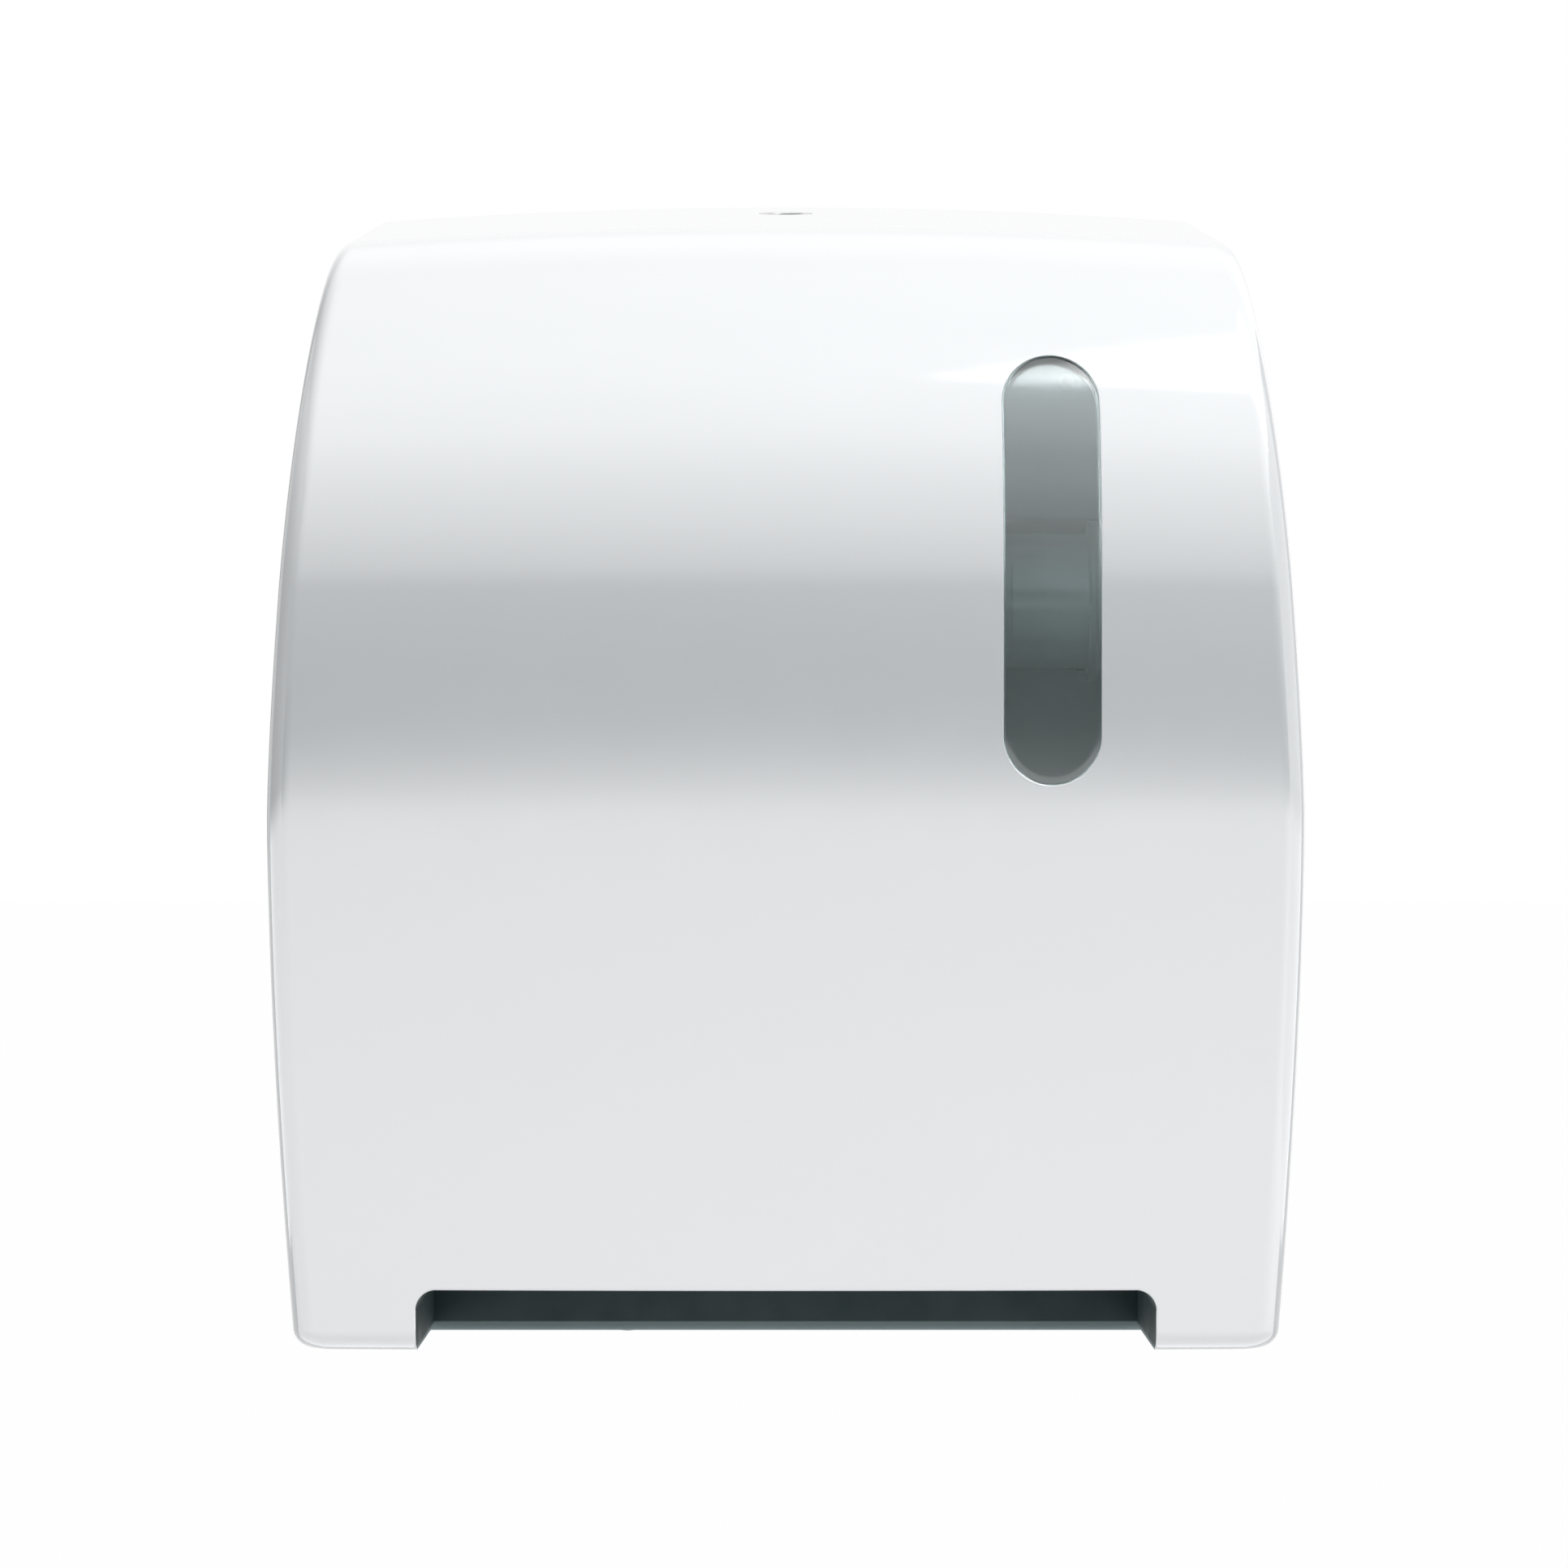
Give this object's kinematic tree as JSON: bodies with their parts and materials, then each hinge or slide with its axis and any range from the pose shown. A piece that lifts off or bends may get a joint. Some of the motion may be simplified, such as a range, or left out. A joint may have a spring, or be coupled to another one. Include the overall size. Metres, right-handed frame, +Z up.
{
  "type": "sensor paper towel dispenser",
  "caption": "Wall-hung roll towel dispenser with a domed white cover, smoke level window, bottom paper slot, hand sensor, motor-driven feed roller and swing-down cover.",
  "frame": {"origin": "centre of the four wall screw holes, on the wall plane", "axes": "+X to the right as seen from the front, +Y into the wall, +Z up; the front faces -Y"},
  "size_m": [0.3296, 0.225, 0.3886],
  "materials": {
    "cover_white": "polished white moulded shell",
    "window_smoke": "clear smoke-grey pane",
    "panel_grey": "fine moulded grain",
    "works_grey": "fine moulded grain",
    "guard_dark": "satin moulded",
    "hub_dark": "satin moulded",
    "steel": "drawn and ground",
    "lock_metal": "bright plated",
    "brass": "turned",
    "rubber": "matt moulded",
    "gear_white": "satin moulded",
    "roller_white": "satin moulded",
    "board_green": "solder mask",
    "cell_wrap": "printed sleeve over a metal can",
    "button_blue": "glossy moulded",
    "light_green": "clear tinted lens",
    "switch_black": "satin moulded",
    "lens_dark": "dark clear lens",
    "spring_steel": "drawn wire"
  },
  "bodies": {
    "chassis": {"back_panel": "panel_grey", "hinge_pins": "steel", "arm_pins": "steel", "lock_strike": "steel", "left_side_plate": "works_grey", "right_side_plate": "works_grey", "base_plate": "works_grey", "exit_guard": "guard_dark", "tear_bar": "steel", "sensor_board": "board_green", "sensor_lens": "lens_dark", "spring_bar": "works_grey", "pinch_pivot_pin": "steel", "motor_can": "steel", "drive_bushes": "brass", "gear_plate": "steel", "gear_posts": "steel", "idler_pin": "steel", "battery_box": "works_grey", "battery_cells": "cell_wrap", "battery_contacts": "steel", "battery_door_pin": "steel", "control_housing": "panel_grey", "control_board": "board_green", "status_led": "light_green", "chassis_screws": "steel", "pinch_springs": "spring_steel", "left_arm_spring": "spring_steel", "right_arm_spring": "spring_steel"},
    "cover": {"front_cover": "cover_white", "level_window": "window_smoke", "lock_housing": "lock_metal"},
    "lock": {"lock_barrel": "lock_metal", "lock_cam": "steel"},
    "drive": {"drive_shaft": "steel", "drive_roller": "roller_white", "drive_grips": "rubber", "drive_gear": "gear_white"},
    "idler": {"idler_gear": "gear_white"},
    "motor_rotor": {"motor_pinion": "brass"},
    "carriage": {"pinch_carriage": "panel_grey"},
    "pinch": {"pinch_shaft": "steel", "pinch_rollers": "rubber"},
    "left_arm": {"left_arm": "works_grey", "left_hub_axle": "steel"},
    "right_arm": {"right_arm": "works_grey", "right_hub_axle": "steel"},
    "left_hub": {"left_hub": "hub_dark"},
    "right_hub": {"right_hub": "hub_dark"},
    "feed_button": {"feed_button": "button_blue"},
    "battery_door": {"battery_door": "works_grey"},
    "mode_switch": {"mode_switch": "switch_black"}
  },
  "joints": [
    {"name": "cover_swing", "type": "hinge", "parent": "chassis", "child": "cover", "pos_m": [0, -0.015, -0.236], "axis": [1, 0, 0], "range_deg": [0, 88]},
    {"name": "key_turn", "type": "hinge", "parent": "cover", "child": "lock", "pos_m": [0, -0.045, 0.12921], "axis": [0, 0.1542, -0.988], "range_deg": [0, 90]},
    {"name": "drive_spin", "type": "hinge", "parent": "chassis", "child": "drive", "pos_m": [0, -0.078, -0.19], "axis": [1, 0, 0], "continuous": true},
    {"name": "idler_spin", "type": "hinge", "parent": "chassis", "child": "idler", "pos_m": [0.12, -0.05418, -0.18707], "axis": [1, 0, 0], "continuous": true},
    {"name": "motor_spin", "type": "hinge", "parent": "chassis", "child": "motor_rotor", "pos_m": [0.1165, -0.03405, -0.20015], "axis": [1, 0, 0], "continuous": true},
    {"name": "pinch_swing", "type": "hinge", "parent": "chassis", "child": "carriage", "pos_m": [0, -0.128, -0.154], "axis": [-1, 0, 0], "range_deg": [0, 8], "stiffness_Nm_per_rad": 1.5, "springref_deg": -5.73, "deforming": ["pinch_springs"]},
    {"name": "pinch_spin", "type": "hinge", "parent": "carriage", "child": "pinch", "pos_m": [0, -0.1093, -0.19], "axis": [1, 0, 0], "continuous": true},
    {"name": "left_arm_swing", "type": "hinge", "parent": "chassis", "child": "left_arm", "pos_m": [-0.107, -0.011, -0.008], "axis": [0, 0, -1], "range_deg": [0, 12], "stiffness_Nm_per_rad": 2, "springref_deg": -5.73, "deforming": ["left_arm_spring"]},
    {"name": "right_arm_swing", "type": "hinge", "parent": "chassis", "child": "right_arm", "pos_m": [0.107, -0.011, -0.008], "axis": [0, 0, 1], "range_deg": [0, 12], "stiffness_Nm_per_rad": 2, "springref_deg": -5.73, "deforming": ["right_arm_spring"]},
    {"name": "left_hub_spin", "type": "hinge", "parent": "left_arm", "child": "left_hub", "pos_m": [-0.088, -0.112, -0.008], "axis": [1, 0, 0], "continuous": true},
    {"name": "right_hub_spin", "type": "hinge", "parent": "right_arm", "child": "right_hub", "pos_m": [0.088, -0.112, -0.008], "axis": [1, 0, 0], "continuous": true},
    {"name": "feed_button_press", "type": "slide", "parent": "chassis", "child": "feed_button", "axis": [0, 1, 0], "range_m": [0, 0.003], "stiffness_N_per_m": 300, "springref_m": -0.002},
    {"name": "battery_door_swing", "type": "hinge", "parent": "chassis", "child": "battery_door", "pos_m": [-0.15, -0.0805, -0.15335], "axis": [0, 0, -1], "range_deg": [0, 95]},
    {"name": "mode_switch_slide", "type": "slide", "parent": "chassis", "child": "mode_switch", "axis": [0, 0, 1], "range_m": [-0.004, 0.004]}
  ],
  "couplings": [
    {"joint": "idler_spin", "follows": "drive_spin", "ratio": -3},
    {"joint": "motor_spin", "follows": "drive_spin", "ratio": 9},
    {"joint": "pinch_spin", "follows": "drive_spin", "ratio": -1.8182}
  ]
}
